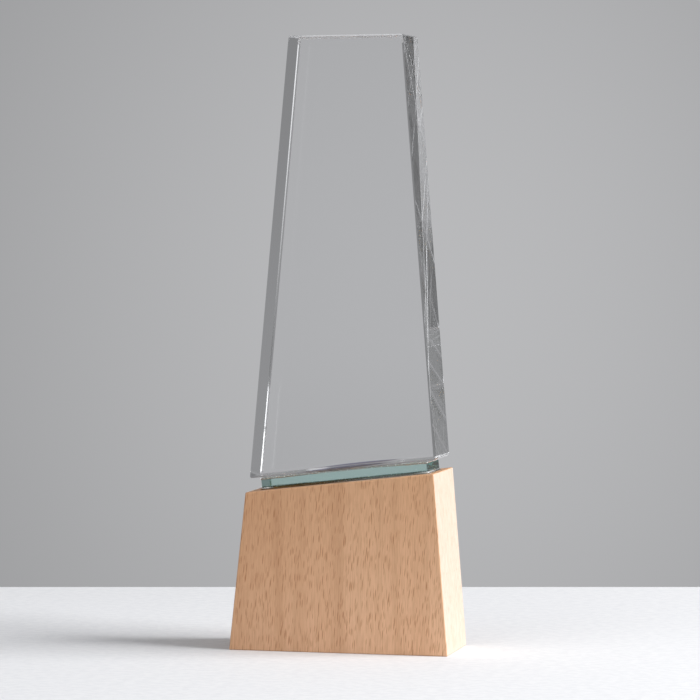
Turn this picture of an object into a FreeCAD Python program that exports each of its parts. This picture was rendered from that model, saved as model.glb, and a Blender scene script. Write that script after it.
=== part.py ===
import FreeCAD, Part
import Sketcher
import os

# Crystal award: a tapering crystal tower bonded to a tinted float-glass spacer, which is
# bonded to a solid beech block whose top is cut on a slope.
# Frame: +X to the block's high side, +Y to the back, +Z up. The origin is the centre of the
# block's underside. Sizes are in millimetres, angles in degrees.

DIMENSIONS = [
    # solid beech block
    ("base_width", 85.0),
    ("base_top_width", 73.0),
    ("base_depth", 40.0),
    ("base_high_side", 69.0),
    ("top_slope", 6.8),
    ("base_edge_radius", 0.5),
    # adhesive: film thickness, and the bead squeezed out round the spacer's foot
    ("bond_film", 0.1),
    ("bead_reach", 0.6),
    ("bead_height", 0.5),
    # float glass, 5 mm nominal
    ("spacer_length", 65.0),
    ("spacer_depth", 24.0),
    ("spacer_thickness", 4.8),
    ("spacer_shift", 0.5),
    ("spacer_arris", 0.3),
    # cut and polished crystal
    ("crystal_foot_width", 72.0),
    ("crystal_top_width", 44.2),
    ("crystal_depth", 30.0),
    ("overall_height", 235.0),
    ("crystal_top_slope", 1.0),
    ("crystal_arris", 0.5),
]

# Height of the sloping top at the middle of the spacer, and the stack on top of it.
SEAT_HEIGHT = ("dims.base_high_side"
               " - (dims.base_top_width / 2 - dims.spacer_shift) * tan(dims.top_slope)")
SPACER_UNDERSIDE = "dims.bond_film"
SPACER_TOP = "(dims.bond_film + dims.spacer_thickness)"
STACK = "(2 * dims.bond_film + dims.spacer_thickness)"
CRYSTAL_FOOT_HIGH = ("dims.base_high_side"
                     " - (dims.base_top_width - dims.crystal_foot_width) / 2 * tan(dims.top_slope)"
                     " + " + STACK + " / cos(dims.top_slope)")
CRYSTAL_FOOT_LOW = CRYSTAL_FOOT_HIGH + " - dims.crystal_foot_width * tan(dims.top_slope)"
BEAD_TAPER = "atan((dims.bead_reach - dims.bond_film) / dims.bead_height)"


def make_sheet(doc):
    """Driving dimensions, one alias per row."""
    sheet = doc.addObject("Spreadsheet::Sheet", "dims")
    for row, (alias, value) in enumerate(DIMENSIONS, start=1):
        sheet.set("A%d" % row, alias)
        sheet.set("B%d" % row, str(value))
        sheet.setAlias("B%d" % row, alias)
    doc.recompute()
    return sheet


def outline(body, name, role, corners, lift=None):
    """Closed polygon on an origin plane. A corner is (side, x size, y size): side is -1 or 1,
    and a y size of None puts the corner on the plane's horizontal axis."""
    plane = next(item for item in body.Origin.OriginFeatures if item.Role == role)
    sketch = body.newObject("Sketcher::SketchObject", name)
    sketch.AttachmentSupport = [(plane, "")]
    sketch.MapMode = "FlatFace"
    if lift is not None:
        sketch.setExpression("AttachmentOffset.Base.z", lift)
    rough = [FreeCAD.Vector(side * 10.0, 0.0 if tall is None else 10.0 + 5.0 * number, 0.0)
             for number, (side, wide, tall) in enumerate(corners)]
    count = len(corners)
    for number in range(count):
        sketch.addGeometry(Part.LineSegment(rough[number], rough[(number + 1) % count]), False)
    for number in range(count):
        sketch.addConstraint(Sketcher.Constraint("Coincident", number, 2, (number + 1) % count, 1))
    for number, (side, wide, tall) in enumerate(corners):
        ends = (number, 1, -1, 1) if side < 0 else (-1, 1, number, 1)
        index = sketch.addConstraint(Sketcher.Constraint("DistanceX", *ends, 10.0))
        sketch.setExpression("Constraints[%d]" % index, wide)
        if tall is None:
            sketch.addConstraint(Sketcher.Constraint("PointOnObject", number, 1, -1))
        else:
            index = sketch.addConstraint(Sketcher.Constraint("DistanceY", -1, 1, number, 1, 10.0))
            sketch.setExpression("Constraints[%d]" % index, tall)
    body.Document.recompute()
    return sketch


def rectangle(body, name, length, depth, lift=None):
    """Rectangle centred on the XY plane's origin."""
    plane = next(item for item in body.Origin.OriginFeatures if item.Role == "XY_Plane")
    sketch = body.newObject("Sketcher::SketchObject", name)
    sketch.AttachmentSupport = [(plane, "")]
    sketch.MapMode = "FlatFace"
    if lift is not None:
        sketch.setExpression("AttachmentOffset.Base.z", lift)
    corners = [FreeCAD.Vector(x, y, 0.0) for x, y in ((-10, -5), (10, -5), (10, 5), (-10, 5))]
    for number in range(4):
        sketch.addGeometry(Part.LineSegment(corners[number], corners[(number + 1) % 4]), False)
    for number in range(4):
        sketch.addConstraint(Sketcher.Constraint("Coincident", number, 2, (number + 1) % 4, 1))
    sketch.addConstraint(Sketcher.Constraint("Horizontal", 0))
    sketch.addConstraint(Sketcher.Constraint("Horizontal", 2))
    sketch.addConstraint(Sketcher.Constraint("Vertical", 1))
    sketch.addConstraint(Sketcher.Constraint("Vertical", 3))
    sketch.addConstraint(Sketcher.Constraint("Symmetric", 0, 1, 1, 2, -1, 1))
    index = sketch.addConstraint(Sketcher.Constraint("DistanceX", 0, 1, 0, 2, 20.0))
    sketch.setExpression("Constraints[%d]" % index, length)
    index = sketch.addConstraint(Sketcher.Constraint("DistanceY", 1, 1, 1, 2, 10.0))
    sketch.setExpression("Constraints[%d]" % index, depth)
    body.Document.recompute()
    return sketch


def extrude(body, sketch, name, length, kind="PartDesign::Pad", both_sides=False, taper=None):
    """Pad or pocket of one sketch, with an optional wall taper."""
    feature = body.newObject(kind, name)
    feature.Profile = sketch
    feature.SideType = "Symmetric" if both_sides else "One side"
    feature.setExpression("Length", length)
    if taper is not None:
        feature.setExpression("TaperAngle", taper)
    body.Document.recompute()
    return feature


def ease_edges(body, feature, kind, name, size):
    """Small fillet or chamfer on every edge of the blank."""
    eased = body.newObject(kind, name)
    eased.Base = (feature, ["Edge1"])
    eased.UseAllEdges = True
    eased.setExpression("Radius" if kind == "PartDesign::Fillet" else "Size", size)
    body.Document.recompute()
    return eased


def stand_on_slope(body, height):
    """Place a body on the block's sloping top, the given height above it along its normal."""
    body.Placement = FreeCAD.Placement(FreeCAD.Vector(0, 0, 0),
                                       FreeCAD.Rotation(FreeCAD.Vector(0, -1, 0), 6.8))
    body.setExpression("Placement.Base.x", "dims.spacer_shift - %s * sin(dims.top_slope)" % height)
    body.setExpression("Placement.Base.z", "%s + %s * cos(dims.top_slope)" % (SEAT_HEIGHT, height))
    body.setExpression("Placement.Rotation.Angle", "dims.top_slope")


def make_wood_block(doc):
    """Beech block: trapezoid front with a sloping top, and lightly sanded edges."""
    body = doc.addObject("PartDesign::Body", "wood_block")
    front = outline(body, "block_front", "XZ_Plane", [
        (-1, "dims.base_width / 2", None),
        (1, "dims.base_width / 2", None),
        (1, "dims.base_top_width / 2", "dims.base_high_side"),
        (-1, "dims.base_top_width / 2",
         "dims.base_high_side - dims.base_top_width * tan(dims.top_slope)"),
    ])
    blank = extrude(body, front, "block_blank", "dims.base_depth", both_sides=True)
    ease_edges(body, blank, "PartDesign::Fillet", "block_edges", "dims.base_edge_radius")
    return body


def make_lower_bond(doc):
    """Adhesive under the spacer: a film, with a bead that laps the spacer's lower arris."""
    body = doc.addObject("PartDesign::Body", "lower_bond")
    stand_on_slope(body, "0")
    foot = rectangle(body, "bead_foot", "dims.spacer_length + 2 * dims.bead_reach",
                     "dims.spacer_depth + 2 * dims.bead_reach")
    extrude(body, foot, "bead_blank", "dims.bead_height", taper="-" + BEAD_TAPER)
    wall = rectangle(body, "seat_wall", "dims.spacer_length", "dims.spacer_depth",
                     lift="dims.bead_height")
    extrude(body, wall, "seat_wall_cut",
            "dims.bead_height - dims.bond_film - dims.spacer_arris", kind="PartDesign::Pocket")
    bevel = rectangle(body, "seat_bevel", "dims.spacer_length", "dims.spacer_depth",
                      lift="dims.bond_film + dims.spacer_arris")
    extrude(body, bevel, "seat_bevel_cut", "dims.spacer_arris", kind="PartDesign::Pocket",
            taper="-45")
    return body


def make_spacer_plate(doc):
    """Float-glass plate between the block and the crystal."""
    body = doc.addObject("PartDesign::Body", "spacer_plate")
    stand_on_slope(body, SPACER_UNDERSIDE)
    face = rectangle(body, "plate_face", "dims.spacer_length", "dims.spacer_depth")
    blank = extrude(body, face, "plate_blank", "dims.spacer_thickness")
    ease_edges(body, blank, "PartDesign::Chamfer", "plate_arris", "dims.spacer_arris")
    return body


def make_upper_bond(doc):
    """Adhesive film on the spacer's flat, inside its arris."""
    body = doc.addObject("PartDesign::Body", "upper_bond")
    stand_on_slope(body, SPACER_TOP)
    face = rectangle(body, "film_face", "dims.spacer_length - 2 * dims.spacer_arris",
                     "dims.spacer_depth - 2 * dims.spacer_arris")
    extrude(body, face, "film", "dims.bond_film")
    return body


def make_crystal_tower(doc):
    """Crystal prism: even depth, tapering sides, foot parallel to the block's top. The top is
    cut very slightly off level."""
    body = doc.addObject("PartDesign::Body", "crystal_tower")
    front = outline(body, "crystal_front", "XZ_Plane", [
        (-1, "dims.crystal_foot_width / 2", CRYSTAL_FOOT_LOW),
        (1, "dims.crystal_foot_width / 2", CRYSTAL_FOOT_HIGH),
        (1, "dims.crystal_top_width / 2", "dims.overall_height"),
        (-1, "dims.crystal_top_width / 2",
         "dims.overall_height - dims.crystal_top_width * tan(dims.crystal_top_slope)"),
    ])
    blank = extrude(body, front, "crystal_blank", "dims.crystal_depth", both_sides=True)
    ease_edges(body, blank, "PartDesign::Chamfer", "crystal_arris_cut", "dims.crystal_arris")
    return body


def check(doc, bodies):
    """Stop before anything is written if an object failed or a shape isn't one sound solid."""
    for item in doc.Objects:
        if "Invalid" in item.State or "Error" in item.State:
            raise RuntimeError("%s is in state %s" % (item.Name, item.State))
    for body in bodies:
        if body.Shape.isNull() or not body.Shape.isValid() or len(body.Shape.Solids) != 1:
            raise RuntimeError("%s has no sound solid" % body.Label)


def main():
    doc = FreeCAD.newDocument("crystal_award")
    make_sheet(doc)
    bodies = [
        make_wood_block(doc),
        make_lower_bond(doc),
        make_spacer_plate(doc),
        make_upper_bond(doc),
        make_crystal_tower(doc),
    ]
    doc.recompute()
    check(doc, bodies)
    os.makedirs("parts", exist_ok=True)
    for body in bodies:
        body.Shape.exportStep("parts/%s.step" % body.Label)
        box = body.Shape.BoundBox
        print("%-14s volume %10.3f mm3  x %7.2f %7.2f  y %7.2f %7.2f  z %7.2f %7.2f"
              % (body.Label, body.Shape.Volume, box.XMin, box.XMax, box.YMin, box.YMax,
                 box.ZMin, box.ZMax))


main()
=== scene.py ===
import math

import bpy
from mathutils import Matrix, Vector, noise


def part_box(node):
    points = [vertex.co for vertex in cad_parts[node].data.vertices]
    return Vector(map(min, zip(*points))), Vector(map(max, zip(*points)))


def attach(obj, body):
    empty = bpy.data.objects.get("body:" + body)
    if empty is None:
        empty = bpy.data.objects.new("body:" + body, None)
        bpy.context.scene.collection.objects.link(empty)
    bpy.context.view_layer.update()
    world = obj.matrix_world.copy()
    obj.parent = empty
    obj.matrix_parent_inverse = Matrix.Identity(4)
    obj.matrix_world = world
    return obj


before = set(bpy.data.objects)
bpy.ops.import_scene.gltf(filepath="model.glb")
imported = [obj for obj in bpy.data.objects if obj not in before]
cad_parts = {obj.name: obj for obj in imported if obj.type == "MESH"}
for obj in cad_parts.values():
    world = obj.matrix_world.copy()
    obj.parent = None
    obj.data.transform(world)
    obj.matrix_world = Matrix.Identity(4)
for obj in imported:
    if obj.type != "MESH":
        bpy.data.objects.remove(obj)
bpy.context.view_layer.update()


# ---------------------------------------------------------------- node helpers

class Tree:
    """Short calls for building one node tree."""

    def __init__(self, tree):
        self.tree = tree
        tree.nodes.clear()

    def node(self, kind, **settings):
        made = self.tree.nodes.new(kind)
        for name, value in settings.items():
            setattr(made, name, value)
        return made

    def put(self, socket, value):
        if isinstance(value, bpy.types.NodeSocket):
            self.tree.links.new(value, socket)
        elif value is not None:
            socket.default_value = value

    def math(self, operation, first, second=None, third=None):
        made = self.node("ShaderNodeMath", operation=operation)
        for socket, value in zip(made.inputs, (first, second, third)):
            self.put(socket, value)
        return made.outputs[0]

    def vector(self, operation, first, second):
        made = self.node("ShaderNodeVectorMath", operation=operation)
        self.put(made.inputs[0], first)
        self.put(made.inputs[1], second)
        return made.outputs["Value" if operation == "DOT_PRODUCT" else "Vector"]

    def split(self, vector):
        made = self.node("ShaderNodeSeparateXYZ")
        self.put(made.inputs[0], vector)
        return made.outputs

    def hump(self, value, middle, width):
        """Bell curve, 1 in the middle."""
        off = self.math("DIVIDE", self.math("SUBTRACT", value, middle), width)
        return self.math("EXPONENT", self.math("MULTIPLY", self.math("MULTIPLY", off, off), -1.0))

    def ramp(self, value, low, high, bottom=0.0, top=1.0, smooth=True):
        made = self.node("ShaderNodeMapRange")
        made.interpolation_type = "SMOOTHSTEP" if smooth else "LINEAR"
        for name, number in (("Value", value), ("From Min", low), ("From Max", high),
                             ("To Min", bottom), ("To Max", top)):
            self.put(made.inputs[name], number)
        return made.outputs["Result"]

    def mix(self, share, first, second, blend="MIX"):
        made = self.node("ShaderNodeMix", data_type="RGBA", blend_type=blend)
        self.put(made.inputs["Factor"], share)
        for name, tone in (("A", first), ("B", second)):
            self.put(made.inputs[name],
                     tone if isinstance(tone, bpy.types.NodeSocket) else (*tone, 1))
        return made.outputs["Result"]

    def noise(self, vector, scale, detail=2.0, rough=0.5, warp=0.0):
        made = self.node("ShaderNodeTexNoise")
        for name, value in (("Vector", vector), ("Scale", scale), ("Detail", detail),
                            ("Roughness", rough), ("Distortion", warp)):
            self.put(made.inputs[name], value)
        return made.outputs["Fac"]

    def cells(self, vector, scale, randomness=1.0):
        """Distance to the nearest cell point, and a random number for each cell."""
        made = self.node("ShaderNodeTexVoronoi", feature="F1", distance="EUCLIDEAN")
        self.put(made.inputs["Vector"], vector)
        made.inputs["Scale"].default_value = scale
        made.inputs["Randomness"].default_value = randomness
        return made.outputs["Distance"], self.split(made.outputs["Color"])[0]

    def scaled(self, vector, factors):
        made = self.node("ShaderNodeMapping")
        self.put(made.inputs["Vector"], vector)
        made.inputs["Scale"].default_value = factors
        return made.outputs["Vector"]

    def place(self):
        return self.node("ShaderNodeTexCoord").outputs["Object"]

    def normal(self):
        return self.split(self.node("ShaderNodeNewGeometry").outputs["True Normal"])

    def bump(self, height, strength, distance):
        made = self.node("ShaderNodeBump")
        made.inputs["Strength"].default_value = strength
        made.inputs["Distance"].default_value = distance
        self.put(made.inputs["Height"], height)
        return made.outputs[0]

    def principled(self, values):
        made = self.node("ShaderNodeBsdfPrincipled")
        for name, value in values.items():
            self.put(made.inputs[name], value)
        return made

    def finish(self, shader):
        out = self.node("ShaderNodeOutputMaterial")
        self.put(out.inputs["Surface"], shader.outputs[0])
        return out


def new_material(name):
    material = bpy.data.materials.new(name)
    material.use_nodes = True
    return material, Tree(material.node_tree)


def paint(node, material):
    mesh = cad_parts[node].data
    mesh.materials.clear()
    mesh.materials.append(material)


def add_object(name, data):
    made = bpy.data.objects.new(name, data)
    bpy.context.scene.collection.objects.link(made)
    return made


# ---------------------------------------------------------------- camera

CAMERA_PLACE = (0.320434, -1.516459, 0.176038)
CAMERA_TURN = (11.9442, 2.2725, 0.4579)     # degrees: yaw to the left, pitch down, roll
SENSOR_WIDTH = 36.0
FOCAL_RATIO = 4044.027 / 700.0              # focal length over sensor width


def make_camera():
    yaw, pitch, roll = (math.radians(angle) for angle in CAMERA_TURN)
    data = bpy.data.cameras.new("camera")
    data.sensor_width = SENSOR_WIDTH
    data.lens = SENSOR_WIDTH * FOCAL_RATIO
    data.clip_start = 0.01
    data.clip_end = 100.0
    ahead = Vector((-math.sin(yaw) * math.cos(pitch), math.cos(yaw) * math.cos(pitch),
                    -math.sin(pitch)))
    right = Vector((math.cos(yaw), math.sin(yaw), 0.0))
    up = right.cross(ahead)
    rolled_right = right * math.cos(roll) + up * math.sin(roll)
    rolled_up = -right * math.sin(roll) + up * math.cos(roll)
    camera = add_object("camera", data)
    camera.rotation_mode = "QUATERNION"
    turned = Matrix((rolled_right, rolled_up, -ahead)).transposed()
    camera.rotation_quaternion = turned.to_quaternion()
    camera.location = CAMERA_PLACE
    bpy.context.scene.camera = camera


# ---------------------------------------------------------------- stage

# Brightness of the studio's surroundings.
WALL, WALL_POOL, CEILING = 0.235, 0.255, 0.12
ROOM_FLOOR, FLOOR_BEHIND = 0.30, 0.58
SIDE_LANE_NEAR, SIDE_LANE_FAR = -0.10, 0.68
FLAG, CARD, WINDOW_GLOW = 0.12, 0.45, 2.2
STUDIO_TINT = (0.985, 0.99, 1.012)


def make_world():
    """Studio surroundings by direction, in degrees. A grey backdrop is lit in the middle behind
    the object, over a room floor with pale areas behind and beside it, under a lighter ceiling
    and a soft window high on the right. Low in front on the left hang a black flag and, further
    left, a white card."""
    world = bpy.data.worlds.new("studio")
    bpy.context.scene.world = world
    world.use_nodes = True
    t = Tree(world.node_tree)
    x, y, z = t.split(t.node("ShaderNodeTexCoord").outputs["Generated"])

    def degrees(angle):
        return t.math("MULTIPLY", angle, 180 / math.pi)

    def patch(across, up, columns, rows):
        """1 inside a soft-edged rectangle: each side fades in and out between two angles."""
        sides = t.math("MULTIPLY", t.ramp(across, columns[0], columns[1]),
                       t.ramp(across, columns[2], columns[3], 1.0, 0.0))
        ends = t.math("MULTIPLY", t.ramp(up, rows[0], rows[1]),
                      t.ramp(up, rows[2], rows[3], 1.0, 0.0))
        return t.math("MULTIPLY", sides, ends)

    azimuth = degrees(t.math("ARCTAN2", x, y))                              # 0 is behind
    facing = degrees(t.math("ARCTAN2", x, t.math("MULTIPLY", y, -1.0)))     # 0 is in front
    height = degrees(t.math("ARCSINE", z))

    pool = t.math("MULTIPLY", t.hump(azimuth, -10.7, 8.6), t.hump(height, -1.5, 9.6))
    wall = t.math("MULTIPLY_ADD", pool, WALL_POOL, WALL)
    low_right = t.math("MULTIPLY", t.ramp(azimuth, 4.0, 12.0),
                       t.ramp(height, 2.0, -8.0, -0.015, 0.09, smooth=False))
    wall = t.math("ADD", wall, low_right)
    wall = t.math("ADD", wall, t.ramp(height, 8.0, 45.0, 0.0, CEILING))

    floor_rows = (-40.0, -30.0, 0.0, 1.0)
    behind = patch(azimuth, height, (-34.0, -28.0, 4.0, 9.0), floor_rows)
    beside = patch(azimuth, height, (60.0, 75.0, 125.0, 135.0), floor_rows)
    lane = t.ramp(height, -12.8, -9.2, SIDE_LANE_NEAR, SIDE_LANE_FAR, smooth=False)
    carpet = t.math("ADD", t.math("MULTIPLY_ADD", behind, FLOOR_BEHIND, ROOM_FLOOR),
                    t.math("MULTIPLY", beside, lane))

    floor = t.ramp(height, -6.5, -5.85, 1.0, 0.0)
    tone = t.math("ADD", t.math("MULTIPLY", wall, t.math("SUBTRACT", 1.0, floor)),
                  t.math("MULTIPLY", floor, carpet))
    flag = patch(facing, height, (-27.0, -24.0, 3.0, 7.0), (-18.0, -16.0, -4.0, -2.0))
    tone = t.math("MULTIPLY", tone, t.ramp(flag, 0.0, 1.0, 1.0, FLAG, smooth=False))
    card = patch(facing, height, (-66.0, -60.0, -44.0, -38.0), (-20.0, -16.0, 4.0, 9.0))
    tone = t.math("MULTIPLY_ADD", card, CARD, tone)
    glow = t.math("MULTIPLY", t.hump(azimuth, 92.0, 26.0), t.hump(height, 32.0, 13.0))
    tone = t.math("MULTIPLY_ADD", glow, WINDOW_GLOW, tone)

    tinted = t.node("ShaderNodeVectorMath", operation="SCALE")
    tinted.inputs[0].default_value = STUDIO_TINT
    t.put(tinted.inputs["Scale"], tone)
    back = t.node("ShaderNodeBackground")
    t.put(back.inputs["Color"], tinted.outputs[0])
    out = t.node("ShaderNodeOutputWorld")
    t.put(out.inputs["Surface"], back.outputs[0])


TABLE_LEFT, TABLE_RIGHT, TABLE_FRONT, TABLE_THICK = -1.3, 0.40, -0.28, 0.03
# Two points on the ground that the table's back edge passes through.
TABLE_BACK = ((-0.19668, 0.18779), (0.10166, 0.27670))
PAPER_DARK, PAPER_LIGHT = (0.735, 0.741, 0.760), (0.790, 0.794, 0.808)


def table_paper():
    """Matt pale paper with a soft mottle."""
    material, t = new_material("table_paper")
    mottle = t.noise(t.place(), 260.0, detail=4.0, rough=0.65)
    t.finish(t.principled({
        "Base Color": t.mix(t.ramp(mottle, 0.35, 0.65), PAPER_DARK, PAPER_LIGHT),
        "Roughness": 0.75,
        "Specular IOR Level": 0.3}))
    return material


def make_table():
    """Pale table with a straight back edge close behind the object."""
    (x0, y0), (x1, y1) = TABLE_BACK
    slope = (y1 - y0) / (x1 - x0)
    outline = [(TABLE_LEFT, TABLE_FRONT), (TABLE_RIGHT, TABLE_FRONT),
               (TABLE_RIGHT, y0 + slope * (TABLE_RIGHT - x0)),
               (TABLE_LEFT, y0 + slope * (TABLE_LEFT - x0))]
    points = [(x, y, 0.0) for x, y in outline] + [(x, y, -TABLE_THICK) for x, y in outline]
    faces = [(0, 1, 2, 3), (7, 6, 5, 4), (0, 4, 5, 1), (1, 5, 6, 2), (2, 6, 7, 3), (3, 7, 4, 0)]
    mesh = bpy.data.meshes.new("table")
    mesh.from_pydata(points, [], faces)
    table = add_object("table", mesh)
    mesh.materials.append(table_paper())


def area_light(name, place, aim, width, height, watts, colour=(1, 1, 1)):
    """Rectangular lamp. It is left out of what is seen through the glass."""
    data = bpy.data.lights.new(name, "AREA")
    data.shape = "RECTANGLE"
    data.size = width
    data.size_y = height
    data.energy = watts
    data.color = colour
    light = add_object(name, data)
    light.location = place
    light.rotation_mode = "QUATERNION"
    light.rotation_quaternion = (Vector(aim) - Vector(place)).to_track_quat("-Z", "Y")
    light.visible_transmission = False


def make_stage():
    make_world()
    make_table()
    area_light("key", (1.60, 0.0, 0.95), (0, 0, 0.05), 1.40, 0.75, 51.0)
    area_light("fill", (-0.75, -1.35, 1.15), (0, 0, 0.1), 1.2, 1.2, 5.8, (0.96, 0.98, 1.0))


# ---------------------------------------------------------------- the spacer's place

TILT = math.radians(6.8)    # slope of the block's top, as in the CAD
ALONG = Vector((math.cos(TILT), 0.0, math.sin(TILT)))
BACK = Vector((0.0, 1.0, 0.0))
ABOVE = Vector((-math.sin(TILT), 0.0, math.cos(TILT)))


def plate_frame():
    """Middle of the spacer, and its half length, half thickness and half depth, with the first
    two measured along and square to the slope."""
    low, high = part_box("spacer_plate")
    wide, tall = high.x - low.x, high.z - low.z
    spread = math.cos(TILT) ** 2 - math.sin(TILT) ** 2
    length = (wide * math.cos(TILT) - tall * math.sin(TILT)) / spread
    thick = (tall * math.cos(TILT) - wide * math.sin(TILT)) / spread
    return (low + high) / 2, length / 2, thick / 2, (high.y - low.y) / 2


MIDDLE, HALF_LENGTH, HALF_THICK, HALF_DEPTH = plate_frame()


def slope_distances(t, place):
    """Distances from the spacer's middle: along the slope, across it and square to it."""
    off = t.vector("SUBTRACT", place, tuple(MIDDLE))
    return (t.vector("DOT_PRODUCT", off, tuple(ALONG)), t.split(off)[1],
            t.vector("DOT_PRODUCT", off, tuple(ABOVE)))


def on_plate(t, place, margin):
    """1 over the spacer's footprint on the slope, grown by a margin, 0 elsewhere."""
    along, across = slope_distances(t, place)[:2]
    return t.math("MULTIPLY",
                  t.math("LESS_THAN", t.math("ABSOLUTE", along), HALF_LENGTH + margin),
                  t.math("LESS_THAN", t.math("ABSOLUTE", across), HALF_DEPTH + margin))


# ---------------------------------------------------------------- glass and adhesive

GLASS_TO_ADHESIVE = 1.50 / 1.47     # relative index where glass and adhesive touch
BOND_INSET = -0.0003                # the bond stops just inside the spacer's arrises
TOP_ARRIS_ROUGH = 0.5
# Painted shade on the crystal's top arrises, which darkens their bright lines.
TOP_ARRIS_PAINTED_SHADE = (0.68, 0.68, 0.69)
TOP_ARRIS_DEPTH = 0.0035            # reach below the crystal's highest point


def glass(name, colour, ior, contact, bonded_ior, absorb=None, arris_rough=0.0, tint_and_painted_shade=None,
          ground_above=1.0, waves=0.0):
    """Polished glass. On the wetted patch the index is that of the glass against the adhesive,
    so light passes on and only grazing rays are mirrored. The arrises are slightly rough, and
    those above a given height are ground matt and darkened by painted shade. A callback paints
    further colour: painted shade on the crystal's foot and a tint on the bond bead. Waves is the
    strength of the ripple that sawing leaves on the upright faces."""
    material, t = new_material(name)
    place = t.place()
    nx, ny, nz = t.normal()
    widest = t.math("MAXIMUM", t.math("MAXIMUM", t.math("ABSOLUTE", nx), t.math("ABSOLUTE", ny)),
                    t.math("ABSOLUTE", nz))
    arris = t.math("LESS_THAN", widest, 0.93)
    z = t.split(place)[2]
    rough = t.ramp(z, ground_above, ground_above + 0.0002, arris_rough, TOP_ARRIS_ROUGH)
    index = t.ramp(contact(t, place, nz), 0.0, 1.0, ior, bonded_ior, smooth=False)
    shader = t.principled({
        "Base Color": (*colour, 1),
        "Transmission Weight": 1.0,
        "IOR": ior,
        "Roughness": t.math("MULTIPLY", arris, rough)})
    t.put(shader.inputs["IOR"], index)
    if tint_and_painted_shade:
        # Painted shade: the colour of the top arrises is darkened.
        shaded_top_arris = t.math("MULTIPLY", arris, t.math("GREATER_THAN", z, ground_above))
        tone = t.mix(shaded_top_arris, tint_and_painted_shade(t, place, ny, colour), TOP_ARRIS_PAINTED_SHADE)
        t.put(shader.inputs["Base Color"], tone)
    if waves:
        sawn = t.noise(t.scaled(place, (1, 1, 2.2)), 120.0, detail=1.0)
        upright = t.math("LESS_THAN", t.math("ABSOLUTE", nz), 0.6)
        ripple = t.bump(t.math("MULTIPLY", sawn, upright), waves, 0.0004)
        t.put(shader.inputs["Normal"], ripple)
    out = t.finish(shader)
    if absorb:
        tint, density = absorb
        volume = t.node("ShaderNodeVolumeAbsorption")
        volume.inputs["Color"].default_value = (*tint, 1)
        volume.inputs["Density"].default_value = density
        t.put(out.inputs["Volume"], volume.outputs[0])
    return material


def crystal_contact(t, place, nz):
    """The crystal's foot over the spacer."""
    return t.math("MULTIPLY", on_plate(t, place, BOND_INSET), t.math("LESS_THAN", nz, -0.95))


def plate_contact(t, place, nz):
    """Both broad faces of the spacer."""
    return t.math("MULTIPLY", on_plate(t, place, BOND_INSET),
                  t.math("GREATER_THAN", t.math("ABSOLUTE", nz), 0.95))


def bead_contact(t, place, nz):
    """All of the adhesive that touches the spacer or lies under it."""
    return on_plate(t, place, 0.00004)


def painted_foot_shade_lens(t, place, ny, colour):
    """Painted shade: a long thin dark lens along the front of the foot, painted brown below and
    violet above as fringes of refracted light.
    """
    lens_middle, lens_half_length, lens_half_height = 0.0015, 0.0188, 0.00058
    rise, climb = 0.00075, 0.012    # above the spacer's top, and its climb along the foot
    along, _, above = slope_distances(t, place)
    centre_line = t.math("MULTIPLY_ADD", along, climb, rise)
    height = t.math("SUBTRACT", t.math("SUBTRACT", above, HALF_THICK), centre_line)
    share = t.math("DIVIDE", t.math("SUBTRACT", along, lens_middle), lens_half_length)
    narrowing = t.math("POWER", t.math("ABSOLUTE", share), 2.0)
    reach = t.math("MULTIPLY", t.math("SUBTRACT", 1.0, narrowing), lens_half_height)
    edge = t.math("SUBTRACT", reach, t.math("ABSOLUTE", height))
    front = t.math("LESS_THAN", ny, -0.5)
    lens = t.math("MULTIPLY", t.ramp(edge, -0.0001, 0.0002), front)
    hue = t.mix(t.ramp(height, -0.0003, 0.0003), (0.17, 0.12, 0.11), (0.15, 0.15, 0.26))
    return t.mix(lens, colour, hue)


def bead_tint(t, place, ny, colour):
    """Amber where the adhesive has wetted the wood, clearing towards the right."""
    x = t.split(place)[0]
    return t.mix(t.ramp(x, -0.012, 0.012), (0.72, 0.40, 0.13), colour)


def bond_film():
    """Clear cured film with a few tiny bubbles."""
    material, t = new_material("bond_film")
    distance, chance = t.cells(t.place(), 700.0)
    bubble = t.math("MULTIPLY", t.ramp(distance, 0.10, 0.16, 1.0, 0.0),
                    t.math("GREATER_THAN", chance, 0.7))
    clear = t.node("ShaderNodeBsdfTransparent")
    t.put(clear.inputs["Color"], t.mix(bubble, (0.985, 0.99, 0.985), (0.72, 0.76, 0.75)))
    t.finish(clear)
    return material


def adhesive():
    """Cured adhesive, clear with trapped micro-bubbles."""
    material, t = new_material("squeezed_adhesive")
    distance = t.cells(t.place(), 1500.0)[0]
    t.finish(t.principled({
        "Base Color": (0.93, 0.95, 0.94, 1),
        "Transmission Weight": 0.65,
        "IOR": 1.49,
        "Roughness": t.ramp(distance, 0.15, 0.4, 0.5, 0.12)}))
    return material


# ---------------------------------------------------------------- beech

# Darker growth streaks up the front: place across the block, width and strength.
STREAKS = ((-0.0225, 0.0016, 0.9), (-0.0130, 0.0012, 0.5), (0.0005, 0.0028, 1.0),
           (0.0235, 0.0016, 0.8), (0.0330, 0.0030, 0.4))
FLECK_SCALES = (1300.0, 1600.0, 1900.0)
FLECK_STRETCH = 0.075       # a fleck is about 13 times as long as it is wide
FLECK_LEAN = -0.07
WETTED_MARGIN = 0.0009


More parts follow.
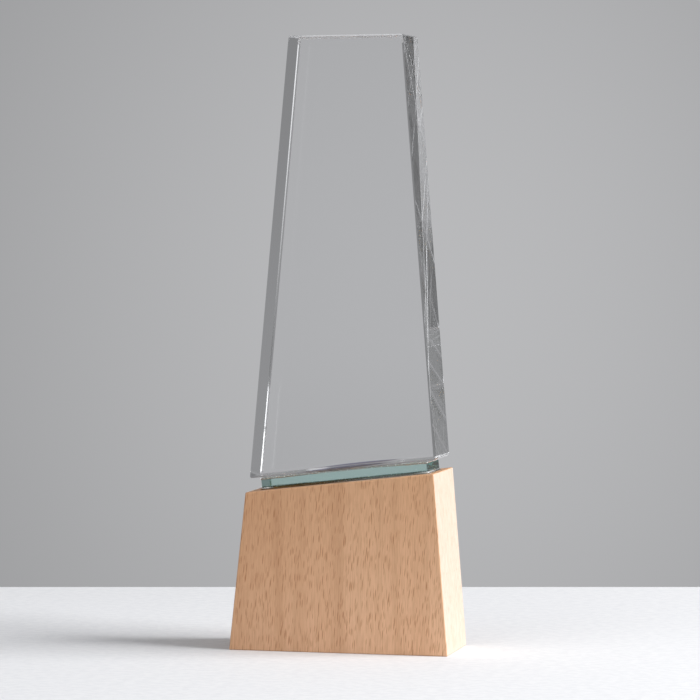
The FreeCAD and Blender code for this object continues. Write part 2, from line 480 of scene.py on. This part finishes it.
def growth(t, place, tone):
    """Broad bands and the separate darker streaks, which wander a little up the block."""
    x, _, z = t.split(place)
    wander = t.noise(t.scaled(place, (1, 1, 0.5)), 40.0, detail=1.0)
    across = t.math("ADD", t.math("MULTIPLY_ADD", z, 0.035, x),
                    t.math("MULTIPLY", t.math("SUBTRACT", wander, 0.5), 0.004))
    streaks = 0.0
    for middle, width, depth in STREAKS:
        streaks = t.math("MULTIPLY_ADD", t.hump(across, middle, width), depth, streaks)
    bands = t.noise(t.scaled(place, (1, 0.6, 0.03)), 170.0, detail=3.0, rough=0.55, warp=0.3)
    tone = t.mix(t.math("MULTIPLY", t.ramp(bands, 0.48, 0.70), 0.30), tone, (0.50, 0.265, 0.135))
    return t.mix(t.math("MULTIPLY", streaks, 0.34), tone, (0.50, 0.255, 0.125))


def ray_flecks(t, place):
    """Short dark flecks, as three layers of stretched cells of random depth."""
    x, y, z = t.split(place)
    turned = t.node("ShaderNodeCombineXYZ")
    t.put(turned.inputs["X"], t.math("MULTIPLY_ADD", z, FLECK_LEAN, x))
    t.put(turned.inputs["Y"], t.math("MULTIPLY", y, 0.05))
    t.put(turned.inputs["Z"], t.math("MULTIPLY", z, FLECK_STRETCH))
    flecks = 0.0
    for number, scale in enumerate(FLECK_SCALES):
        shifted = t.vector("ADD", turned.outputs[0], (0.37 * number, 0.11, 0.05))
        distance, chance = t.cells(shifted, scale, randomness=0.8)
        depth = t.ramp(chance, 0.1, 0.7, 0.1, 1.0, smooth=False)
        spot = t.ramp(distance, 0.14, 0.25, 1.0, 0.0)
        flecks = t.math("MAXIMUM", t.math("MULTIPLY", spot, depth), flecks)
    return flecks


def beech():
    """Straight-grained beech with its fibres along Z: dense short ray flecks, soft streaks and
    fine pores. The sides are paler, the right side much more so as a painted sheen, and the
    left is darkened with painted shade. The wood under the bond is wetted dark."""
    material, t = new_material("beech")
    place = t.place()
    nx, _, nz = t.normal()
    x, _, z = t.split(place)
    low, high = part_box("wood_block")
    side = t.ramp(t.math("ABSOLUTE", nx), 0.6, 0.9)

    # Base tone, darker towards the top, with painted shade darkening it towards the left.
    broad = t.noise(t.scaled(place, (1, 1, 0.15)), 32.0, detail=2.0)
    tone = t.mix(t.ramp(broad, 0.3, 0.7), (0.770, 0.446, 0.255), (0.830, 0.512, 0.312))
    tone = t.mix(t.ramp(z, low.z, high.z, smooth=False), tone,
                 t.mix(1.0, tone, (0.905, 0.850, 0.775), "MULTIPLY"))
    tone = t.mix(t.ramp(x, high.x, low.x, smooth=False), tone,
                 t.mix(1.0, tone, (0.89, 0.895, 0.90), "MULTIPLY"))
    tone = growth(t, place, tone)

    # The two sides: a paler face with thin grain lines, and on the right side a much paler painted
    # sheen.
    pale_face_and_painted_sheen = t.math("MAXIMUM", t.ramp(nx, 0.6, 0.9, 0.0, 0.78), t.math("MULTIPLY", side, 0.15))
    tone = t.mix(pale_face_and_painted_sheen, tone, (0.61, 0.565, 0.500))
    lines = t.noise(t.scaled(place, (1, 1, 0.02)), 700.0, detail=2.0)
    lines = t.math("MULTIPLY", t.math("MULTIPLY", t.ramp(lines, 0.5, 0.66), side), 0.45)
    tone = t.mix(lines, tone, (0.60, 0.455, 0.32))

    wetted = t.math("MULTIPLY", on_plate(t, place, WETTED_MARGIN),
                    t.math("GREATER_THAN", nz, 0.9))
    tone = t.mix(wetted, tone, (0.30, 0.165, 0.055))

    flecks = t.math("MULTIPLY", ray_flecks(t, place),
                    t.ramp(side, 0.0, 1.0, 1.0, 0.12, smooth=False))
    tone = t.mix(t.math("MULTIPLY", flecks, 0.76), tone, (0.36, 0.130, 0.036))
    pores = t.noise(t.scaled(place, (1, 1, 0.05)), 2600.0, detail=2.0)
    tone = t.mix(t.math("MULTIPLY", t.ramp(pores, 0.42, 0.66), 0.34), tone, (0.46, 0.215, 0.10))

    relief = t.math("MULTIPLY_ADD", flecks, -0.7, t.math("MULTIPLY", pores, 0.5))
    t.finish(t.principled({
        "Base Color": tone,
        "Roughness": t.ramp(pores, 0.3, 0.7, 0.42, 0.55),
        "Normal": t.bump(relief, 0.3, 0.00012)}))
    return material


def make_materials():
    crystal_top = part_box("crystal_tower")[1].z
    # The crystal gets painted shade: a dark lens along its foot and darker top arrises.
    paint("crystal_tower", glass("crystal", (0.945, 0.948, 0.955), 1.50, crystal_contact,
                                 GLASS_TO_ADHESIVE, arris_rough=0.05, tint_and_painted_shade=painted_foot_shade_lens,
                                 ground_above=crystal_top - TOP_ARRIS_DEPTH))
    paint("spacer_plate", glass("tinted_glass", (1.0, 1.0, 1.0), 1.52, plate_contact,
                                GLASS_TO_ADHESIVE, absorb=((0.35, 0.78, 0.72), 28.0),
                                arris_rough=0.1, waves=0.12))
    paint("upper_bond", bond_film())
    paint("lower_bond", glass("bond_bead", (0.97, 0.97, 0.95), 1.49, bead_contact, 1.0,
                              tint_and_painted_shade=bead_tint))
    paint("wood_block", beech())


# ---------------------------------------------------------------- squeezed-out adhesive

CORNER_RADIUS = 0.0006
RING_SPACING = 0.00035
RING_SIDES = 8
RING_FLATNESS = 0.8         # a ridge reaches out less than it stands high


def ridge_path():
    """Places round the spacer's edge, along and across it, with the outward direction."""
    stops = []
    for turn, (side_x, side_y) in enumerate(((1, -1), (1, 1), (-1, 1), (-1, -1))):
        for step in range(7):
            angle = math.radians(-90 + 90 * turn + 15 * step)
            stops.append((side_x * (HALF_LENGTH - CORNER_RADIUS) + CORNER_RADIUS * math.cos(angle),
                          side_y * (HALF_DEPTH - CORNER_RADIUS) + CORNER_RADIUS * math.sin(angle),
                          angle))
    path = []
    for (x0, y0, outward), (x1, y1, _) in zip(stops, stops[1:] + stops[:1]):
        count = max(1, round(math.hypot(x1 - x0, y1 - y0) / RING_SPACING))
        for step in range(count):
            share = step / count
            path.append((x0 + (x1 - x0) * share, y0 + (y1 - y0) * share, outward))
    return path


def make_squeeze_out(name, level, swell, material):
    """Uneven ridge of cured adhesive round the spacer's edge. Level is its height above the
    spacer's middle and swell gives its radius at a place along and across the spacer."""
    path = ridge_path()
    vertices = []
    for x, y, turn in path:
        radius = swell(x, y)
        outward = ALONG * math.cos(turn) + BACK * math.sin(turn)
        centre = MIDDLE + ALONG * x + BACK * y + ABOVE * level
        for side in range(RING_SIDES):
            angle = 2 * math.pi * side / RING_SIDES
            vertices.append(centre + outward * radius * RING_FLATNESS * math.cos(angle)
                            + ABOVE * radius * math.sin(angle))
    faces = []
    for row in range(len(path)):
        here, there = row * RING_SIDES, (row + 1) % len(path) * RING_SIDES
        for side in range(RING_SIDES):
            following = (side + 1) % RING_SIDES
            faces.append((here + side, here + following, there + following, there + side))
    mesh = bpy.data.meshes.new(name)
    mesh.from_pydata(vertices, [], faces)
    mesh.polygons.foreach_set("use_smooth", [True] * len(faces))
    mesh.materials.append(material)
    piece = add_object(name, mesh)
    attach(piece, "root")


def upper_swell(x, y):
    """Fine broken ridge under the crystal's foot, fuller towards both ends."""
    wave = noise.noise(Vector((x * 420.0, y * 420.0, 3.1)))
    ends = min(1.0, max(0.0, (abs(x - 0.0020) - 0.0100) / 0.0160))
    return 0.00018 + 0.00022 * max(0.0, wave) + 0.00036 * ends


def lower_swell(x, y):
    """Ridge on the block, heaviest at the front left corner and the right end."""
    wave = noise.noise(Vector((x * 260.0, y * 260.0, 7.7)))
    heap = math.exp(-((x + 0.0305) / 0.0020) ** 2) + 0.7 * math.exp(-((x - 0.0320) / 0.0030) ** 2)
    heap = heap if y < 0 else 0.3 * heap
    return 0.00012 + 0.00006 * wave + 0.00045 * heap


def make_squeeze_outs():
    material = adhesive()
    make_squeeze_out("upper_squeeze_out", HALF_THICK - 0.00042, upper_swell, material)
    make_squeeze_out("lower_squeeze_out", -HALF_THICK + 0.00022, lower_swell, material)


make_camera()
make_stage()
make_materials()
make_squeeze_outs()
scene = bpy.context.scene
scene.view_settings.view_transform = "Standard"
scene.cycles.max_bounces = 40
scene.cycles.transmission_bounces = 40
scene.cycles.glossy_bounces = 40
scene.cycles.transparent_max_bounces = 24
